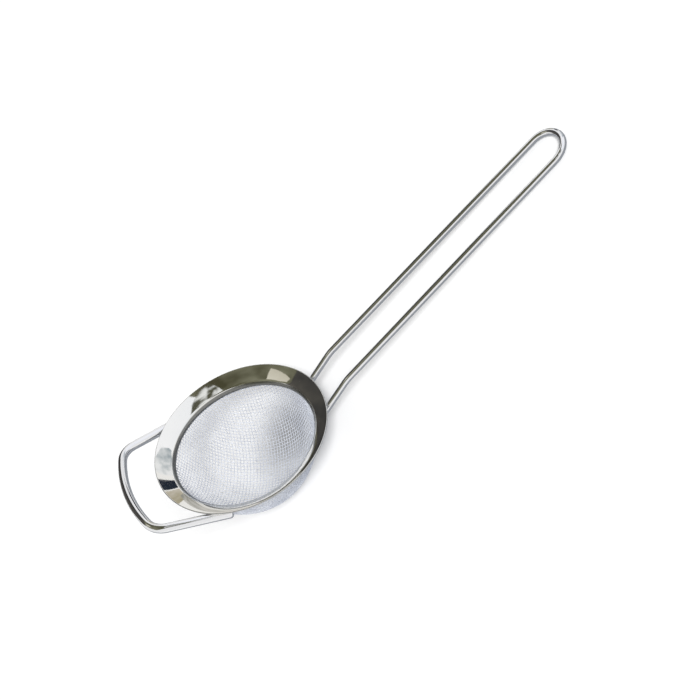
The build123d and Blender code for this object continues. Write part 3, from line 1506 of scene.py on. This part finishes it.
@dataclass(frozen=True)
class ReflectorCard:
    """A card that shows only in reflections, facing the sifter."""

    name: str
    azimuth: float
    elevation: float
    width: float
    height: float
    colour: Colour
    far_colour: Colour
    streaks: float
    strength: float = 1.0
    streak_scale: float = 3.0
    distance: float = 1.2

    def glow(self) -> Finish:
        """Makes uneven light that runs from one colour to the other across the card.

        Returns:
            The material.
        """
        material, tree = bare_material(self.name)
        place = make_node(tree, "ShaderNodeTexCoord")
        split = make_node(tree, "ShaderNodeSeparateXYZ")
        tree.links.new(place.outputs["Object"], split.inputs[0])
        noise = make_node(tree, "ShaderNodeTexNoise")
        noise.inputs["Scale"].default_value = self.streak_scale
        tree.links.new(place.outputs["Object"], noise.inputs["Vector"])
        even = join_math(tree, "ADD", split.outputs["X"], 0.5)
        uneven = join_math(tree, "SUBTRACT", noise.outputs["Fac"], 0.5)
        along = join_math(tree, "ADD", even, join_math(tree, "MULTIPLY", uneven, self.streaks))
        glow = make_node(tree, "ShaderNodeEmission")
        glow.inputs["Strength"].default_value = self.strength
        tree.links.new(mix_colours(tree, along, self.colour, self.far_colour), glow.inputs["Color"])
        show(tree, glow.outputs[0])
        return material

    def build(self, centre: Vector) -> None:
        """Hangs the card facing the sifter, its width and height in degrees as seen from there.

        Args:
            centre: The point that it faces, in metres.
        """
        clear_selection()
        away = heading_vector(self.azimuth, self.elevation)
        bpy.ops.mesh.primitive_plane_add(size=1.0, location=centre + away * self.distance)
        card = bpy.context.object
        card.name = self.name
        card.rotation_mode = "QUATERNION"
        card.rotation_quaternion = (-away).to_track_quat("Z", "Y")
        wide = 2.0 * self.distance * math.tan(math.radians(self.width / 2.0))
        high = 2.0 * self.distance * math.tan(math.radians(self.height / 2.0))
        card.scale = (wide, high, 1.0)
        card.data.materials.append(self.glow())
        hide_from_all_but_reflections(card)


@dataclass
class Studio:
    """A pale floor with a painted shadow round the bowl's foot, soft light from all round, and the cards
    that the polished metal reflects.
    """

    floor_size: float = 14.0
    floor_colour: Colour = (0.80, 0.80, 0.80)
    floor_glow: float = 0.15
    floor_share: float = 1.10
    # A painted shadow round the bowl's foot: its centre, how far it darkens the floor's colour, and
    # where its fade starts and ends.
    painted_shadow_centre: Point = (0.006, 0.013, 0.0)
    painted_shadow_tone: float = 0.50
    painted_shadow_near: float = 0.004
    painted_shadow_far: float = 0.034
    key_azimuth: float = 26.0
    key_elevation: float = 44.0
    key_strength: float = 2.5
    key_angle: float = 16.0
    table_colour: Colour = (0.36, 0.38, 0.41)
    table_place: Point = (0.05, 0.085, 0.0001)
    table_size: Point = (0.90, 0.33, 1.0)
    world_strength: float = 0.50
    centre: Point = (0.0, 0.0, 0.03)
    cards: tuple[ReflectorCard, ...] = (
        ReflectorCard(
            "ceiling card", 0.0, 88.0, 76.0, 76.0, (0.075, 0.071, 0.04), (0.25, 0.25, 0.18),
            streaks=2.2, streak_scale=5.0,
        ),
        ReflectorCard(
            "far card", -152.0, 34.0, 62.0, 62.0, (0.115, 0.108, 0.095), (0.03, 0.031, 0.034),
            streaks=1.2, streak_scale=4.0,
        ),
        ReflectorCard(
            "window card", 95.0, 28.0, 62.0, 48.0, (1.0, 1.01, 1.05), (0.9, 0.93, 0.98),
            strength=1.12, streaks=0.8,
        ),
        ReflectorCard(
            "lamp card", -125.0, 74.0, 17.0, 17.0, (0.86, 0.83, 0.72), (0.7, 0.67, 0.56),
            strength=0.9, streaks=0.6, streak_scale=3.0, distance=1.0,
        ),
        ReflectorCard(
            "blind card", 64.0, 50.0, 24.0, 26.0, (0.1, 0.1, 0.07), (0.93, 0.95, 0.96),
            streaks=7.0, streak_scale=2.6, distance=0.9,
        ),
        ReflectorCard(
            "grey low card", 120.0, 8.0, 22.0, 34.0, (0.95, 0.97, 1.0), (0.4, 0.46, 0.5),
            streaks=2.4, streak_scale=4.0,
        ),
        ReflectorCard(
            "dark low card", 140.0, 3.0, 8.0, 34.0, (0.025, 0.035, 0.05), (0.015, 0.02, 0.035),
            streaks=1.5, streak_scale=4.0, distance=1.1,
        ),
        ReflectorCard(
            "warm low card", 150.0, 2.0, 10.0, 34.0, (0.4, 0.36, 0.24), (0.62, 0.58, 0.5),
            streaks=1.5, streak_scale=4.0, distance=1.1,
        ),
        ReflectorCard(
            "bench card", 168.0, -1.0, 30.0, 12.0, (0.8, 0.78, 0.76), (0.34, 0.34, 0.31),
            streaks=2.5, streak_scale=4.0, distance=0.32,
        ),
    )

    def floor_material(self) -> Finish:
        """Makes a pale floor that the camera and the metal see nearly white, with its shadows, and
        darker round the bowl's foot, where a shadow is painted on it.

        Returns:
            The material.
        """
        material, tree = bare_material("pale floor")
        seen = seen_rays(tree)
        diffuse = make_node(tree, "ShaderNodeBsdfDiffuse")
        diffuse.inputs["Color"].default_value = (*self.floor_colour, 1.0)
        # Painted shadow: round the bowl's foot the floor that is seen gets a darker colour and less
        # glow, on top of its traced shadows.
        clear = self.painted_shadow_mask(tree)
        dim = make_node(tree, "ShaderNodeBsdfDiffuse")
        painted_shadow_colour = tuple(c * self.painted_shadow_tone for c in self.floor_colour)
        plain_floor_colour = tuple(c * self.floor_share for c in self.floor_colour)
        tree.links.new(mix_colours(tree, clear, painted_shadow_colour, plain_floor_colour), dim.inputs["Color"])
        glow = make_node(tree, "ShaderNodeEmission")
        tree.links.new(join_math(tree, "MULTIPLY", clear, self.floor_glow), glow.inputs["Strength"])
        both = make_node(tree, "ShaderNodeAddShader")
        tree.links.new(dim.outputs[0], both.inputs[0])
        tree.links.new(glow.outputs[0], both.inputs[1])
        mix = make_node(tree, "ShaderNodeMixShader")
        tree.links.new(seen, mix.inputs["Fac"])
        tree.links.new(diffuse.outputs[0], mix.inputs[1])
        tree.links.new(both.outputs[0], mix.inputs[2])
        show(tree, mix.outputs[0])
        return material

    def painted_shadow_mask(self, tree: Tree) -> Socket:
        """Mask of a painted shadow on the floor: 0 where the bowl touches it, 1 about a bowl's radius
        away.

        Args:
            tree: The node tree.

        Returns:
            The mask.
        """
        place = make_node(tree, "ShaderNodeTexCoord")
        away = make_node(tree, "ShaderNodeVectorMath", operation="DISTANCE")
        tree.links.new(place.outputs["Object"], away.inputs[0])
        away.inputs[1].default_value = self.painted_shadow_centre
        return smooth_mask(tree, away.outputs["Value"], self.painted_shadow_near, self.painted_shadow_far)

    def hang_key_light(self) -> None:
        """Hangs the key light beside the camera, so that the shadows fall behind what casts them."""
        away = heading_vector(self.key_azimuth, self.key_elevation)
        bpy.ops.object.light_add(type="SUN", location=away)
        key = bpy.context.object
        key.name = "key light"
        key.rotation_mode = "QUATERNION"
        key.rotation_quaternion = away.to_track_quat("Z", "Y")
        key.data.energy = self.key_strength
        key.data.angle = math.radians(self.key_angle)
        key.visible_glossy = False

    def light_world(self) -> None:
        """Lights the world evenly, at full strength as seen and less in what it casts."""
        world = bpy.data.worlds.new("studio")
        world.use_nodes = True
        tree = world.node_tree
        background = tree.nodes["Background"]
        background.inputs["Color"].default_value = (1.0, 1.0, 1.0, 1.0)
        extra = join_math(tree, "MULTIPLY", seen_rays(tree), 1.0 - self.world_strength)
        tree.links.new(join_math(tree, "ADD", extra, self.world_strength), background.inputs["Strength"])
        bpy.context.scene.world = world

    def lay_table_card(self) -> None:
        """Lays a grey card on the floor, which only the metal's reflections show."""
        bpy.ops.mesh.primitive_plane_add(size=1.0, location=self.table_place)
        card = bpy.context.object
        card.name = "table card"
        card.scale = self.table_size
        material, tree = bare_material(card.name)
        glow = make_node(tree, "ShaderNodeEmission")
        glow.inputs["Color"].default_value = (*self.table_colour, 1.0)
        show(tree, glow.outputs[0])
        card.data.materials.append(material)
        hide_from_all_but_reflections(card)

    def build(self) -> None:
        """Lays the floor, hangs the cards and lights the world."""
        clear_selection()
        bpy.ops.mesh.primitive_plane_add(size=self.floor_size, location=(0.0, 0.0, 0.0))
        floor = bpy.context.object
        floor.name = "floor"
        floor.data.materials.append(self.floor_material())
        for card in self.cards:
            card.build(Vector(self.centre))
        self.lay_table_card()
        self.hang_key_light()
        self.light_world()
        bpy.context.scene.view_settings.view_transform = "Standard"
        LOG.info("studio: floor and %d cards", len(self.cards))


@dataclass
class PictureCamera:
    """The camera: where it looks, from where, and how it is rolled."""

    target: Point = (0.0596, 0.0, 0.0167)
    azimuth: float = 21.233
    elevation: float = 39.918
    roll: float = -65.15
    distance: float = 0.5033
    lens: float = 60.26

    def build(self) -> None:
        """Places the camera and makes it the scene's."""
        data = bpy.data.cameras.new("picture camera")
        camera = bpy.data.objects.new("picture camera", data)
        bpy.context.scene.collection.objects.link(camera)
        back = heading_vector(self.azimuth, self.elevation)
        turn = math.radians(self.azimuth)
        level = Vector((math.cos(turn), math.sin(turn), 0.0))
        roll = Quaternion(back, math.radians(self.roll))
        right = roll @ level
        up = back.cross(right)
        axes = Matrix((right, up, back)).transposed().to_4x4()
        camera.matrix_world = Matrix.Translation(Vector(self.target) + back * self.distance) @ axes
        data.lens = self.lens
        data.clip_start = 0.01
        data.clip_end = 50.0
        bpy.context.scene.camera = camera


# --- the whole ----------------------------------------------------------------------------------------


def main() -> None:
    """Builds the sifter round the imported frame, then the studio and the camera."""
    logging.basicConfig(level=logging.INFO, format="%(name)s: %(message)s")
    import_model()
    effects = Effects()
    wire_finish = BrightWire().material(effects)
    Collar().build(PolishedSheet().material(effects), SatinSheet().material(effects))
    WovenBowl().build(WovenWire().material(effects))
    handle = Handle()
    handle.build(wire_finish)
    rest = FrontRest()
    rest.build(wire_finish)
    WeldBeads().build(handle, rest, WeldMetal().material(effects))
    Studio().build()
    PictureCamera().build()
    clear_selection()


if __name__ == "__main__":
    main()
